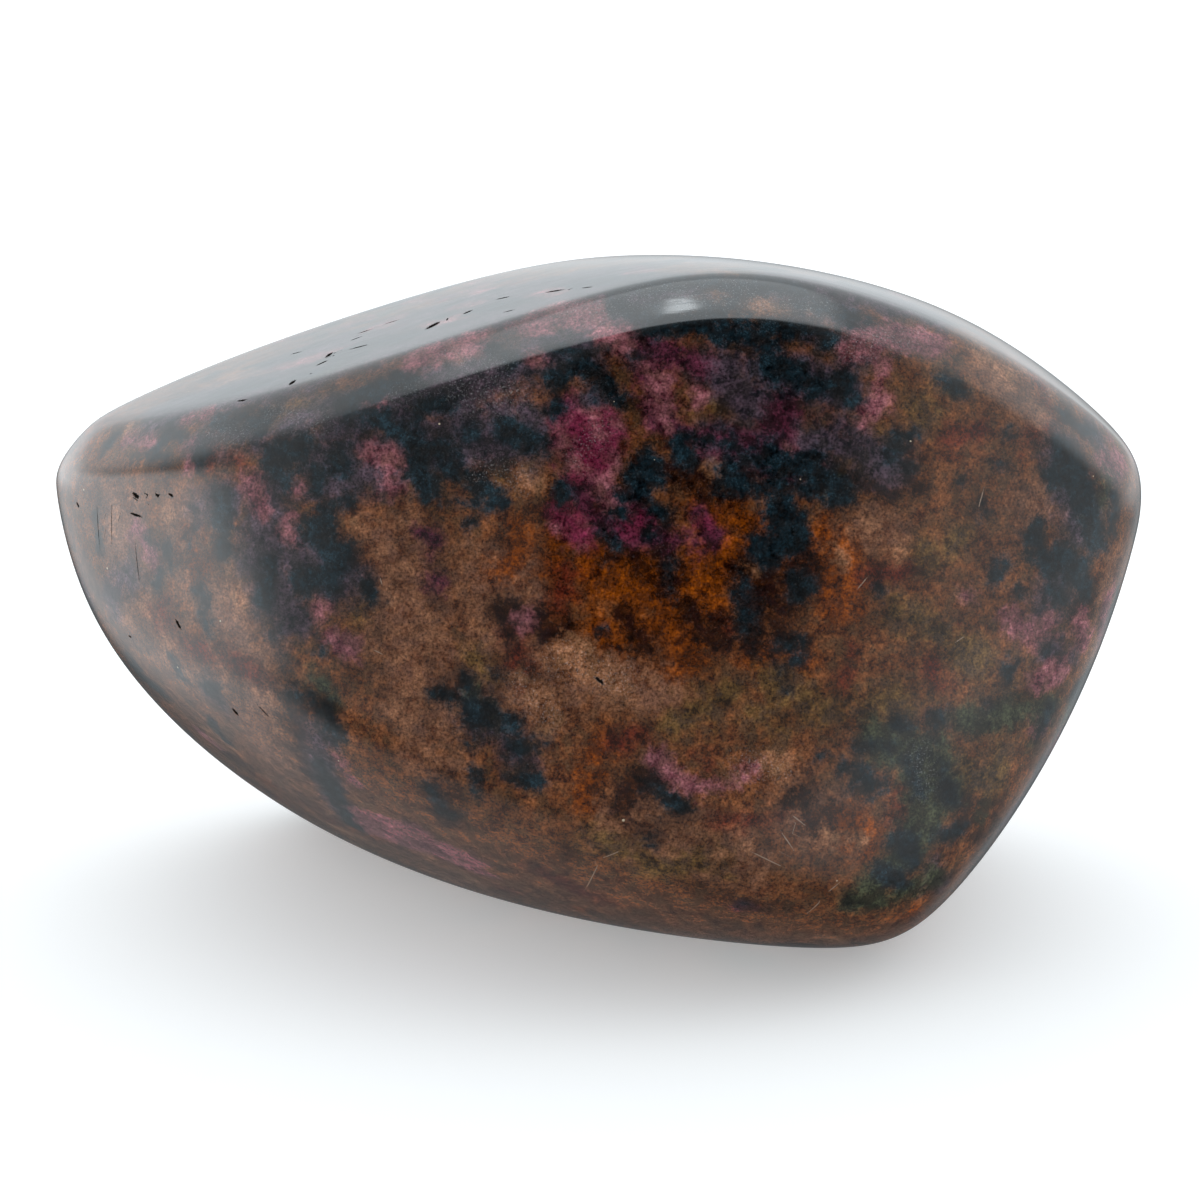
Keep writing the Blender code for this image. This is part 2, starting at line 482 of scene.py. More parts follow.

# %% [markdown]
# ### Painted glint
#
# Where crystals are too hard or too loose for the wheel, they stay a little rough and catch the
# light in white sparkles. Here that sparkle is a painted glint: white added to the colour. These
# strokes don't carry a colour, but say where the painted glint is strong. Most of them lie along
# the band of the top edge.

# %% Painted glint
# Painted glint: these strokes say where white sparkle is painted into the colour.
PAINTED_GLINT_STROKES = [
    (0.9, (-33.0, 18.6), (-28.0, 17.6)),
    (0.9, (-39.0, 17.0), (-36.0, 16.4)),
    (0.7, (-20.0, 20.5), (-18.5, 21.2)),
    (1.6, (-14.0, 21.0), (-9.0, 20.5)),
    (1.2, (-15.0, 24.5), (-10.0, 23.0)),
    (1.4, (-3.0, 29.3), (0.5, 28.2)),
    (1.8, (4.0, 30.5), (9.0, 30.2), (14.0, 30.8)),
    (1.2, (15.0, 29.5), (22.0, 29.2)),
    (1.3, (25.0, 25.5), (32.0, 26.5)),
    (0.7, (0.0, 17.0), (-2.0, 14.0)),
    (1.0, (-12.0, 13.0), (-8.0, 12.0)),
    (1.4, (-4.0, -6.0), (2.0, -8.0)),
    (0.9, (-8.0, -8.5), (-5.0, -11.5)),
    (1.0, (14.0, -16.5), (18.0, -17.0)),
    (0.7, (32.0, -15.0), (32.5, -19.0)),
]
print("frost strokes:", len(PAINTED_GLINT_STROKES))

# %% [markdown]
# ### Rose rhodonite
#
# The mineral that gives the stone its name. It is palest and largest along the band, and runs into
# the brown ground in tongues and small islands.

# %% Rose rhodonite
ROSE = [
    (1.8, (-31.0, 23.6), (-27.0, 24.6)),
    (1.6, (-17.0, 27.6), (-13.0, 28.6)),
    (1.6, (-6.0, 30.6), (-4.0, 30.9)),
    (0.7, (-47.5, 16.0), (-45.0, 15.5)),
    (0.9, (-41.5, 18.0), (-39.5, 18.5)),
    (0.7, (-41.0, 16.0), (-41.0, 13.5)),
    (1.5, (-18.0, 24.2), (-15.0, 25.2), (-12.5, 25.8)),
    (1.8, (-7.0, 27.5), (-4.5, 29.0), (-1.0, 28.5)),
    (1.4, (0.5, 27.0), (2.5, 26.2)),
    (0.9, (-6.2, 24.6)),
    (0.8, (-22.5, 19.5)),
    (1.0, (-23.0, 15.0), (-20.0, 14.0), (-20.5, 11.5)),
    (0.8, (5.0, 23.0), (6.0, 21.5)),
    (0.8, (6.0, 19.5), (6.3, 17.5)),
    (0.8, (0.0, 12.0), (1.5, 9.0)),
    (2.0, (-2.5, 17.0), (0.5, 17.5)),
    (1.7, (-1.5, 14.0), (0.5, 14.0)),
    (0.8, (-3.5, 7.5), (-2.0, 6.5)),
    (1.7, (25.5, 25.5), (29.0, 26.5), (33.5, 25.5)),
    (1.0, (28.5, 23.5)),
    (1.2, (28.0, 20.0), (27.0, 19.0)),
    (0.7, (19.0, 15.0), (19.3, 13.5)),
    (0.6, (26.0, 17.5)),
    (0.6, (21.5, 13.0)),
    (1.2, (41.0, -2.0), (44.0, -3.5), (45.0, -2.0)),
    (1.2, (48.0, -2.0), (48.5, -4.0)),
    (1.2, (44.0, -8.0), (46.0, -7.0)),
    (0.8, (37.0, 0.5)),
    (1.6, (-26.0, -20.6), (-22.0, -22.0), (-18.0, -23.2)),
    (2.8, (-24.0, -22.2), (-19.0, -24.0), (-14.0, -25.6)),
    (1.0, (-15.0, -26.0), (-11.0, -27.5)),
    (0.5, (-26.0, -16.2), (-24.5, -18.5)),
    (1.0, (5.8, -15.8), (7.5, -17.6), (9.2, -18.9)),
    (0.45, (10.0, -18.5), (13.5, -18.7)),
    (0.7, (14.0, -18.0), (15.5, -16.5)),
    (1.1, (50.5, 13.5), (52.0, 14.0)),
    (0.9, (-46.5, 7.0), (-44.5, 4.0)),
    (0.9, (-35.0, 12.0), (-33.5, 9.0)),
    (0.8, (-31.2, 8.0), (-31.0, 6.5)),
    (0.6, (-30.5, 11.0)),
    (0.4, (-33.2, 14.5)),
    (0.8, (-28.0, -1.0)),
    (0.7, (-8.0, -2.0), (-7.0, -1.8)),
    (1.0, (-26.5, -4.0), (-25.0, -5.0)),
    (0.5, (9.5, 20.0), (10.5, 20.6)),
]
print("rose strokes:", len(ROSE))

# %% [markdown]
# ### Plum, magenta and mauve
#
# Thick rhodonite is darker and redder, a plum, and magenta in the clearest places under the crown.
# Mauve is the mixed ground between rose and oxide, too fine-grained to paint grain by grain.

# %% Plum, magenta and mauve
PLUM = [
    (1.2, (-3.0, 13.0), (-1.0, 8.0)),
    (1.2, (0.0, 8.0), (6.0, 6.0), (11.0, 6.5)),
    (1.8, (5.0, 24.5), (7.0, 24.0), (9.5, 23.5)),
    (1.8, (5.5, 21.0), (6.5, 18.0)),
    (2.2, (-3.0, 18.0), (-1.0, 12.0)),
    (1.2, (9.0, 16.5), (16.0, 15.5)),
    (1.6, (18.0, 19.0), (18.5, 14.0)),
    (1.6, (2.0, 9.0), (4.0, 7.5)),
    (0.8, (10.0, 8.0), (11.0, 6.5)),
    (1.2, (-4.0, 8.0)),
    (0.9, (-18.0, 6.5), (-16.5, 6.0)),
    (0.9, (-16.0, 2.0)),
    (0.6, (14.0, -30.5)),
]
MAGENTA = [
    (1.5, (-2.4, 17.4), (-0.6, 14.6)),
    (1.2, (0.4, 18.0), (1.2, 16.0)),
    (1.0, (-3.4, 8.4), (-2.0, 6.4)),
    (0.8, (-0.5, 16.0), (1.0, 16.5)),
    (0.6, (-2.5, 12.0)),
    (0.5, (2.5, 7.0), (4.5, 8.0)),
    (0.5, (10.5, 7.5)),
]
MAUVE = [
    # the long slope of the top, which the camera sees at a grazing angle
    (3.0, (-26.0, 18.0), (-14.0, 22.0), (-3.0, 25.5), (4.0, 28.5)),
    (1.6, (-40.0, 15.5), (-32.0, 17.0), (-26.0, 20.0)),
    (1.4, (20.0, 27.5), (26.0, 24.0)),
    (5.0, (-42.0, 19.5), (-30.0, 22.5), (-12.0, 28.0), (4.0, 31.2)),
    (5.0, (-30.0, 24.5), (-14.0, 29.5), (0.0, 32.5)),
    (4.0, (20.0, 32.0), (32.0, 29.0)),
    (2.6, (-33.0, 10.0), (-34.0, 4.0), (-31.0, -2.0)),
    (3.2, (-27.0, 13.0), (-18.0, 15.0), (-8.0, 16.5)),
    (1.4, (-30.0, 17.5), (-25.0, 18.0)),
    (2.6, (-30.0, 4.0), (-26.0, 2.0)),
    (1.8, (-40.0, 9.0), (-37.0, 10.0)),
    (1.6, (-47.0, 3.0), (-49.0, 0.0)),
    (1.4, (-14.0, 18.0), (-12.0, 19.0), (-8.0, 19.0)),
    (2.4, (12.0, 23.0), (18.0, 18.0)),
    (2.6, (16.0, 23.0), (24.0, 21.0)),
    (1.4, (-2.0, 19.5), (0.0, 20.0)),
    (1.6, (24.0, 18.0), (27.0, 15.0)),
    (2.2, (46.0, 15.0), (48.0, 8.0)),
    (2.0, (12.0, 16.0), (22.0, 14.0)),
    (2.0, (22.0, 16.0), (29.0, 14.0)),
    (1.8, (46.0, 2.0), (44.0, -1.0)),
    (1.4, (-13.0, -10.0), (-8.0, -16.0)),
    (1.2, (-39.0, -8.5), (-38.0, -10.0)),
    (1.5, (-28.0, -14.0), (-26.0, -21.0)),
    (1.0, (33.0, -27.5), (34.5, -28.0)),
    (1.2, (44.5, -5.0), (47.0, -5.5)),
    (1.2, (22.0, 28.5), (25.0, 27.5)),
    (1.6, (3.0, 30.5), (9.0, 31.0)),
    (1.2, (49.5, 16.5), (51.5, 13.0)),
]
print("plum, magenta and mauve strokes:", len(PLUM) + len(MAGENTA) + len(MAUVE))

# %% [markdown]
# ### The brown ground
#
# The brown is mixed too, probably of garnet and quartz stained by iron. Clay is the common brown,
# ochre glows orange where the stone is clear, rust is redder, umber nearly black, olive greenish,
# and pale is milky. The strokes are wide, because these change slowly into each other.

# %% The brown ground
CLAY = [
    (3.0, (2.0, -22.0), (14.0, -26.0)),
    (2.6, (20.0, -21.0), (25.0, -23.0)),
    (3.5, (-48.0, 8.0), (-46.0, -2.0), (-40.0, -8.0)),
    (3.5, (-38.0, 0.0), (-35.0, -8.0), (-32.0, -16.0)),
    (4.2, (-20.0, 4.5), (-19.0, -4.0), (-17.0, -10.0)),
    (4.0, (-10.0, 2.0), (-8.0, -8.0)),
    (2.6, (-42.0, 8.0), (-41.0, 3.0)),
    (2.4, (-37.0, 2.0), (-36.0, -3.0)),
    (3.0, (-2.0, -7.0), (6.0, -8.0)),
    (2.4, (39.0, 23.0), (44.5, 18.0)),
    (1.8, (-18.0, -14.5), (-16.0, -16.5)),
    (2.4, (-46.0, -2.0), (-42.0, -6.0)),
    (2.0, (43.0, 9.5), (45.5, 10.0)),
    (2.4, (24.0, 6.0), (28.5, 7.5)),
]
OCHRE = [
    (3.2, (0.0, 4.0), (8.0, 0.0), (13.0, 5.0)),
    (2.4, (20.0, 5.0), (24.0, 0.0)),
    (2.2, (10.5, 9.0), (14.0, 7.0)),
    (2.6, (3.0, 4.0), (6.0, 1.0)),
    (1.6, (-4.0, 8.0), (-4.5, 4.0)),
    (1.4, (11.0, 4.0)),
    (1.5, (22.0, 7.0), (24.5, 4.0), (24.0, 1.0)),
    (1.6, (-1.0, 1.0), (0.0, 5.0)),
    (2.0, (0.0, -3.0), (8.0, -3.0)),
    (2.4, (11.0, 0.0), (9.0, -5.0)),
    (1.3, (-41.0, 6.0), (-40.0, 3.0)),
    (1.5, (15.0, -5.0), (20.0, -6.0)),
    (1.8, (24.0, -22.0), (27.0, -25.0)),
    (1.6, (-8.0, 6.0), (-9.0, 3.0)),
    (1.2, (0.0, -14.0), (-2.0, -20.0)),
    (0.3, (-1.0, -16.7)),
]
RUST = [
    (1.2, (2.0, 7.0), (4.0, 8.0)),
    (0.6, (10.0, 7.0), (11.0, 6.0)),
    (1.3, (-9.0, -3.0), (-8.0, -7.0)),
    (1.2, (-44.0, -1.0), (-42.0, -4.0), (-38.0, -6.0)),
    (1.0, (-36.5, -6.0), (-34.5, -8.0)),
    (0.4, (-39.0, 13.7), (-36.0, 14.2)),
    (0.6, (26.0, 3.0), (30.0, 2.5), (33.0, 4.0)),
    (0.8, (35.0, 16.0), (38.0, 17.0)),
    (0.9, (43.0, 16.0)),
    (1.6, (35.0, -4.0), (33.0, -7.0)),
    (0.6, (10.0, -16.0), (9.0, -15.0)),
    (1.4, (-3.0, 3.0), (-4.0, 0.0)),
    (0.8, (12.0, -22.0), (18.0, -22.0)),
    (1.0, (30.0, -20.5), (30.0, -22.5)),
    (0.8, (12.0, -3.0)),
    (0.4, (25.5, -5.0), (24.5, -8.0)),
    (1.2, (-6.0, -27.0), (0.0, -30.0)),
    (0.8, (2.0, -14.0), (5.0, -13.0)),
]
UMBER = [
    (2.2, (2.0, 10.0), (5.0, 7.0)),
    (2.0, (6.0, 13.0), (12.0, 12.0)),
    (2.6, (12.0, 14.0), (20.0, 13.0)),
    (2.4, (16.0, 2.0), (15.0, -3.0)),
    (1.6, (0.5, 8.0), (3.0, 5.0)),
    (1.2, (6.0, 5.0), (7.0, 2.0)),
    (2.0, (20.0, 3.0), (18.0, -2.0)),
    (1.4, (-4.0, 11.0), (-5.0, 9.0)),
    (1.6, (9.0, -1.0), (12.0, -4.0)),
    (1.2, (32.0, 11.0), (30.0, 13.0)),
    (1.6, (-10.0, -1.0), (-4.0, -3.0)),
    (1.4, (24.0, 12.0), (30.0, 12.0)),
    (1.2, (2.0, -2.0), (5.0, -4.0)),
    (1.6, (5.0, -18.0), (2.0, -20.0)),
    (1.8, (26.0, -12.0), (30.0, -14.0)),
    (1.6, (20.0, -20.0), (22.0, -22.0)),
    (1.4, (-16.0, -18.0), (-15.0, -22.0)),
    (2.0, (-30.0, -12.0), (-28.0, -18.0)),
    (1.4, (46.0, 4.0), (48.0, -1.0)),
    (1.0, (13.0, -30.0), (16.0, -30.6)),
    (1.8, (36.0, -20.0), (38.0, -26.0)),
]
OLIVE = [
    (0.7, (-10.0, 13.0), (-10.2, 11.0)),
    (1.4, (10.0, 20.0), (14.0, 19.5), (14.0, 21.0)),
    (1.0, (25.5, 14.5)),
    (0.8, (28.0, 16.5)),
    (1.6, (30.0, -1.0), (38.0, -6.0)),
    (1.8, (36.0, -17.0), (39.5, -18.0), (40.0, -16.0)),
    (1.6, (17.0, -8.0), (22.0, -11.0)),
    (1.6, (28.0, -10.0), (31.0, -10.5)),
    (1.2, (-12.5, -5.5), (-11.5, -6.5)),
    (0.8, (-24.0, -1.0)),
    (0.8, (47.5, 7.0)),
    (1.6, (-31.5, 19.0), (-28.0, 19.5)),
    (1.4, (8.0, -12.0), (13.0, -9.0)),
    (1.6, (0.0, -24.0), (6.0, -27.0), (12.0, -26.0)),
    (1.4, (33.0, 5.0), (36.0, 6.0)),
    (1.2, (40.0, -11.0), (41.0, -10.0)),
    (1.0, (15.0, -11.0), (18.0, -13.0)),
    (1.2, (32.0, 20.0), (33.0, 18.5)),
]
PALE = [
    (0.8, (-7.5, -8.0), (-6.0, -9.5), (-4.0, -12.0)),
    (0.7, (-4.0, -12.0), (-5.5, -13.2)),
    (1.2, (-3.0, -5.0), (0.0, -7.0), (2.0, -9.0)),
    (0.6, (-7.4, 13.0), (-7.0, 12.0)),
    (0.5, (27.2, 8.0), (28.0, 7.0)),
    (0.4, (24.0, 5.0), (24.5, 3.5)),
    (0.4, (30.0, 4.5)),
    (0.8, (36.8, 0.5)),
    (0.7, (46.0, 2.5), (47.0, 2.0)),
    (0.9, (16.0, -16.0), (18.5, -16.5)),
    (0.7, (14.0, -18.0)),
    (0.7, (16.5, 29.3), (18.5, 28.8)),
    (0.6, (11.5, 13.5)),
    (0.5, (15.0, 3.5)),
    (0.4, (-17.0, 16.5)),
    (0.5, (-14.5, 14.0)),
    (0.5, (-27.5, 8.0)),
    (0.5, (-28.0, 3.0)),
    (0.5, (-32.0, -3.5)),
    (0.5, (-24.5, 8.5), (-24.0, 7.5)),
    (0.6, (-43.5, 9.0)),
    (0.9, (-47.0, 17.0), (-44.0, 17.8)),
    (1.0, (-36.5, 2.5), (-36.0, 0.5)),
    (0.5, (22.0, -23.5), (26.0, -24.0)),
    (0.5, (12.0, -25.5)),
    (0.5, (21.3, 12.8)),
    (0.9, (38.5, 24.5), (41.0, 22.0)),
    (0.7, (44.0, 19.0)),
    (0.5, (-34.0, 16.8), (-36.2, 16.0)),
    (0.5, (34.5, 25.5)),
]
print("strokes in the ground:", sum(len(g) for g in (CLAY, OCHRE, RUST, UMBER, OLIVE, PALE)))

# %% [markdown]
# ## The sides that the camera can't see
#
# The stone is carried on round the back with the same brushes. A seeded generator picks points of
# the mesh that the camera can't see well, where the cosine between the outward direction and the
# way to the eye is small. Each one starts a short stroke that wanders over the surface. On the
# front the oxide, the rose and the mauve keep together in dark clouds, with brown ground between
# them. So round the back those minerals start near the middles of a few clouds, with a chance that
# falls like a bell curve, and the browns draw back from there.

# %% Points that are hard to see
BADLY_SEEN = 0.22


def outward(places):
    """Unit direction in which the height above the stone grows, from differences over 0.1 mm."""
    reach = 0.05 * np.eye(3)
    slope = [height_above_stone(places + step) - height_above_stone(places - step) for step in reach]
    slope = np.stack(slope, axis=1)
    return slope / np.linalg.norm(slope, axis=1, keepdims=True)


normals = outward(points)
to_eye = EYE - points
to_eye /= np.linalg.norm(to_eye, axis=1, keepdims=True)
hidden = np.flatnonzero((normals * to_eye).sum(axis=1) < BADLY_SEEN)
print("share of the stone that is hard to see:", round(len(hidden) / len(points), 2))

# %% Strokes round the back
BACK_SEED = 7
DARK_CLOUDS = 9
CLOUD_RADIUS = 12.0
DARK_FAMILY = ("mauve", "plum", "rose", "magenta", "oxide")
BROWN_DRAWS_BACK = 0.6
WANDER = 2.2
BRUSHES = (0.5, 1.8)
BRUSHWORK = {
    # mineral: strokes in front, how many round the back, how wide these are beside the oxide's
    "painted_glint": (PAINTED_GLINT_STROKES, 24, 1.0),
    "clay": (CLAY, 26, 2.2),
    "ochre": (OCHRE, 36, 1.2),
    "rust": (RUST, 30, 1.0),
    "umber": (UMBER, 40, 1.2),
    "olive": (OLIVE, 30, 1.2),
    "pale": (PALE, 36, 0.6),
    "mauve": (MAUVE, 60, 1.9),
    "plum": (PLUM, 26, 1.0),
    "rose": (ROSE, 70, 0.9),
    "magenta": (MAGENTA, 10, 0.6),
    "green": (GREEN, 24, 1.1),
    "oxide": (OXIDE, 190, 1.0),
}
generator = np.random.default_rng(BACK_SEED)
cloud_middles = points[generator.choice(hidden, DARK_CLOUDS)]
cloud_distance = np.linalg.norm(points[hidden][:, None] - cloud_middles, axis=2).min(axis=1)
in_cloud = np.exp(-((cloud_distance / CLOUD_RADIUS) ** 2))


def back_strokes(count, width, chance):
    """Strokes of three stops: a hidden point and two steps of a random walk beside it."""
    strokes = []
    for start in points[generator.choice(hidden, count, p=chance / chance.sum())]:
        steps = generator.normal(0, WANDER, (2, 3))
        stops = [start, start + steps[0], start + steps[0] + steps[1]]
        strokes.append((generator.uniform(*BRUSHES) * width, *stops))
    return strokes


mineral_depth = {}
for mineral, (front_strokes, count, width) in BRUSHWORK.items():
    chance = in_cloud if mineral in DARK_FAMILY else 1.0 - BROWN_DRAWS_BACK * in_cloud
    front = inside_strokes(front_strokes)
    back = inside_strokes(back_strokes(count, width, chance))
    mineral_depth[mineral] = np.maximum(front, back)
    print(mineral, "covers", round(float((mineral_depth[mineral] > 0).mean()), 3), "of the points")

# %% [markdown]
# ## Pits and hair veins
#
# Where a grain was torn out under the wheel, or a crack reaches the surface, the polish has a small
# pit, which the material paints dark as painted shade inside it. Hair-thin pale veins are cracks
# that healed. Both are too small for the mesh, whose squares are about half a millimetre wide. So
# each point near a mark carries the mark's own coordinates, along it and across it, both 1 at its
# rim.
# Between the points these run straight, so the material can draw the mark as sharply as it likes.

# %% Pits and veins
# half the width of the mark in millimetres, then its two ends
PITS = [
    (0.55, (-17.1, 27.2), (-16.3, 27.7)),
    (0.35, (-13.4, 28.7), (-13.0, 28.9)),
    (0.35, (-5.2, 30.8), (-3.8, 31.0)),
    (0.28, (-10.2, 30.1), (-9.2, 30.3)),
    (0.35, (-27.3, 24.3), (-26.9, 24.7)),
    (0.30, (-28.2, 23.5), (-27.4, 23.9)),
    (0.30, (-30.0, 22.3), (-29.0, 22.6)),
    (0.35, (-30.9, 21.6), (-30.6, 21.9)),
    (0.25, (-24.0, 26.7), (-22.8, 27.1)),
    (0.22, (-24.8, 26.0), (-24.0, 26.3)),
    (0.20, (-30.8, 24.6), (-30.0, 24.8)),
    (0.18, (-21.5, 27.6), (-20.2, 28.0)),
    (0.20, (-9.5, 28.8), (-8.7, 29.0)),
    (0.18, (-1.8, 31.2), (-0.8, 31.3)),
    (0.16, (-36.2, 19.9), (-35.4, 20.0)),
    (0.25, (-24.9, 25.1), (-23.3, 25.5)),
    (0.28, (-46.6, 10.6), (-46.2, 10.3)),
    (0.28, (-44.3, 10.6), (-44.0, 10.3)),
    (0.15, (-43.1, 10.6), (-42.7, 10.4)),
    (0.22, (-47.9, 9.3), (-47.4, 8.7)),
    (0.14, (-47.0, 8.7), (-45.8, 8.3)),
    (0.16, (-52.3, 9.7), (-52.1, 9.3)),
    (0.20, (-42.4, -2.0), (-41.9, -2.9)),
    (0.14, (-47.1, -3.6), (-46.9, -3.7)),
    (0.30, (-36.6, -11.0), (-36.3, -11.4)),
    (0.10, (-34.2, -10.5), (-33.0, -11.8)),
    (0.20, (-0.4, -7.8), (0.4, -8.4)),
    # fine scratches on the left end, drawn as pits: dull, and dark with painted shade
    (0.05, (-48.8, 10.0), (-48.8, 5.2)),
    (0.05, (-50.3, 9.5), (-50.0, 5.0)),
    (0.05, (-46.5, 6.0), (-46.0, 1.5)),
]
VEINS = [
    (0.06, (-1.5, -29.0), (0.0, -26.0)),
    (0.06, (0.2, -25.8), (2.2, -25.0)),
    (0.06, (19.2, -21.5), (20.6, -22.6)),
    (0.06, (18.0, -23.0), (19.5, -25.2)),
    (0.06, (15.2, -25.2), (18.5, -26.8)),
    (0.06, (20.6, -31.4), (22.5, -29.6)),
    (0.06, (22.8, -29.2), (24.0, -28.2)),
    (0.06, (38.4, 11.2), (37.8, 9.0)),
    (0.06, (-22.6, -5.0), (-21.8, -5.4)),
    (0.06, (-22.0, 2.2), (-21.8, 1.6)),
    (0.06, (25.5, 0.8), (27.0, 2.6)),
    (0.06, (36.5, -3.6), (35.6, -4.2)),
]
print("pits and veins:", len(PITS), len(VEINS))

# %% [markdown]
# ### The marks' own coordinates
#
# The outward direction in the middle of a mark, crossed with the mark's length, is the way across
# it. Away from all marks the third coordinate is 30, which is far outside any rim.

# %% Coordinates of the marks
MARK_REACH = 1.1
FAR_AWAY = 30.0


def mark_coordinates(marks):
    """For points near a mark: distance along it and across it, each over the mark's half size."""
    places = np.tile([0.0, 0.0, FAR_AWAY], (len(points), 1))
    for half_width, *ends in marks:
        start, end = cast(ends)
        middle = (start + end) / 2
        along = (end - start) / np.linalg.norm(end - start)
        across = np.cross(outward(middle[None])[0], along)
        half_length = np.linalg.norm(end - start) / 2 + half_width
        offset = points - middle
        beyond = np.maximum(np.abs(offset @ along) - half_length, 0)
        aside = np.sqrt(np.maximum((offset**2).sum(axis=1) - (offset @ along) ** 2, 0))
        near = np.hypot(beyond, aside) < MARK_REACH + half_width
        places[near, 0] = (offset[near] @ along) / half_length
        places[near, 1] = (offset[near] @ across) / half_width
        places[near, 2] = 0.0
    return places


mark_places = {"pit": mark_coordinates(PITS), "vein": mark_coordinates(VEINS)}
for name, places in mark_places.items():
    print("points near a", name, int((places[:, 2] == 0).sum()))

# %% [markdown]
# ## The mesh
#
# The arrays become one mesh, and each mineral's depth becomes an attribute with one value a point.
# An attribute stays with the surface when the stone is moved, and needs no unwrapping. The two
# calls at the end tie the piece to the solid: it rides on it, and the solid is hidden so that the
# piece takes its place in the picture. Its material is added at the end of the polish.

# %% Build the stone's mesh
stone_mesh = bpy.data.meshes.new("polished_stone")
stone_mesh.from_pydata((points * MM).tolist(), [], quads.tolist())
stone_mesh.shade_smooth()
for mineral, depth in mineral_depth.items():
    layer = stone_mesh.attributes.new(mineral, "FLOAT", "POINT")
    layer.data.foreach_set("value", depth.astype(np.float32))
for name, places in mark_places.items():
    layer = stone_mesh.attributes.new(name, "FLOAT_VECTOR", "POINT")
    layer.data.foreach_set("vector", places.astype(np.float32).ravel())
stone = bpy.data.objects.new("polished_stone", stone_mesh)
bpy.context.scene.collection.objects.link(stone)
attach(stone, "root")
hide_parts("rhodonite_stone")
print("attributes:", len(mineral_depth), "kinds of stroke and", len(mark_places), "of mark")

# %% [markdown]
# ## Polished rhodonite
#
# Rhodonite bends light by 1.73, so even face on it mirrors 7 percent, more than glass does. The
# polish is fine, from cerium oxide on felt, and only the oxide stays a little duller, because it is
# softer. The body colours are strong and dark: the grey veil over them is the studio's reflection.
#
# A material is a tree of nodes. One small function adds any of them: sockets go by name or number,
# and a Mix node has its two numbers at 2 and 3, its two colours at 6 and 7.

# %% Colours and one helper for nodes
SMOOTH = {"interpolation_type": "SMOOTHSTEP"}
COLOURS = {"data_type": "RGBA"}
MULTIPLY = {"operation": "MULTIPLY"}
ADD_SCALED = {"operation": "MULTIPLY_ADD"}


def linear(hex_colour):
    """Linear colour from an sRGB hex: each part over 12.92 when small, else its power of 2.4."""
    parts = [int(hex_colour[i : i + 2], 16) / 255 for i in (1, 3, 5)]
    return (*[p / 12.92 if p <= 0.04045 else ((p + 0.055) / 1.055) ** 2.4 for p in parts], 1.0)


def add_node(tree, kind, inputs, out=0, **settings):
    """Adds a node, sets it, links or fills its inputs, and hands back one output, or none."""
    node = tree.nodes.new("ShaderNode" + kind)
    for name, value in settings.items():
        setattr(node, name, value)
    for key, value in inputs.items():
        if isinstance(value, bpy.types.NodeSocket):
            tree.links.new(value, node.inputs[key])
        else:
            node.inputs[key].default_value = value
    return node.outputs[out] if node.outputs else None


print("rose in linear light:", [round(c, 3) for c in linear("#9c6066")])

# %% [markdown]
# ### Coordinates of the pattern
#
# The pattern is read at the stone's own coordinates, so it stays in the stone when that is moved.
# They are metres, and a thousand times as much makes every scale below count per millimetre.

# %% The material and its coordinates
polish = bpy.data.materials.new("polished_rhodonite")
polish.use_nodes = True
tree = polish.node_tree
tree.nodes.clear()
object_place = add_node(tree, "TexCoord", {}, out=3)
place = add_node(tree, "VectorMath", {0: object_place, "Scale": 1 / MM}, operation="SCALE")
print("one unit of the pattern is one millimetre")

# %% [markdown]
# ### Clouds and grains
#
# Three cloudy noises fray the edges of the blots. Two minerals can share one, the second upside
# down, and then they fit into each other like neighbours in the rock. Mottle and grain, of about 2
# and 0.7 mm, carry a mineral between its dark and its light tone, and stray takes it aside to a
# third. Shade is the slow change over 4 mm. Sugar, of 0.25 mm, is what the eye reads as stone, and
# the painted glint picks out single grains of 0.2 mm with painted white. Wave, over 8 mm, bends
# the polish.

# %% Noises
CLOUDS = {
    # name: clouds per millimetre, detail, roughness, where in the noise it is read
    "fray a": (0.42, 7.0, 0.72, (3.0, 0.0, 0.0)),
    "fray b": (0.50, 7.0, 0.72, (0.0, 71.0, 0.0)),
    "fray c": (0.36, 7.0, 0.70, (0.0, 0.0, 47.0)),
    "mottle": (0.55, 4.0, 0.60, (19.0, 5.0, 0.0)),
    "stray": (0.80, 5.0, 0.65, (0.0, 23.0, 60.0)),
    "shade": (0.24, 4.0, 0.60, (51.0, 9.0, 31.0)),
    "grain": (1.5, 4.0, 0.65, (7.0, 33.0, 2.0)),
    "sugar": (4.0, 3.0, 0.75, (1.0, 2.0, 3.0)),
    "painted_sparkle": (5.0, 3.0, 0.80, (8.0, 70.0, 3.0)),
    "wave": (0.12, 2.0, 0.50, (90.0, 0.0, 9.0)),
}
clouds = {}
for name, (scale, detail, rough, corner) in CLOUDS.items():
    moved = add_node(tree, "VectorMath", {0: place, 1: corner}, operation="ADD")
    clouds[name] = add_node(
        tree, "TexNoise", {"Vector": moved, "Scale": scale, "Detail": detail, "Roughness": rough}
    )
print("noises:", len(clouds))

# %% [markdown]
# ### Minerals, one over the other
#
# Each mineral is mixed over the ones before it. Its depth attribute is frayed by a cloudy noise, so
# that a round stroke gets the ragged edge of grown crystals. The edge is soft over a millimetre,
# because the minerals are see-through and grow into each other. Inside, the colour wanders between
# a dark and a light tone, and in some clouds towards a greyer stray tone, because no mineral here
# is pure. A picture could be laid on instead, but it would fit one side only and blur when enlarged.

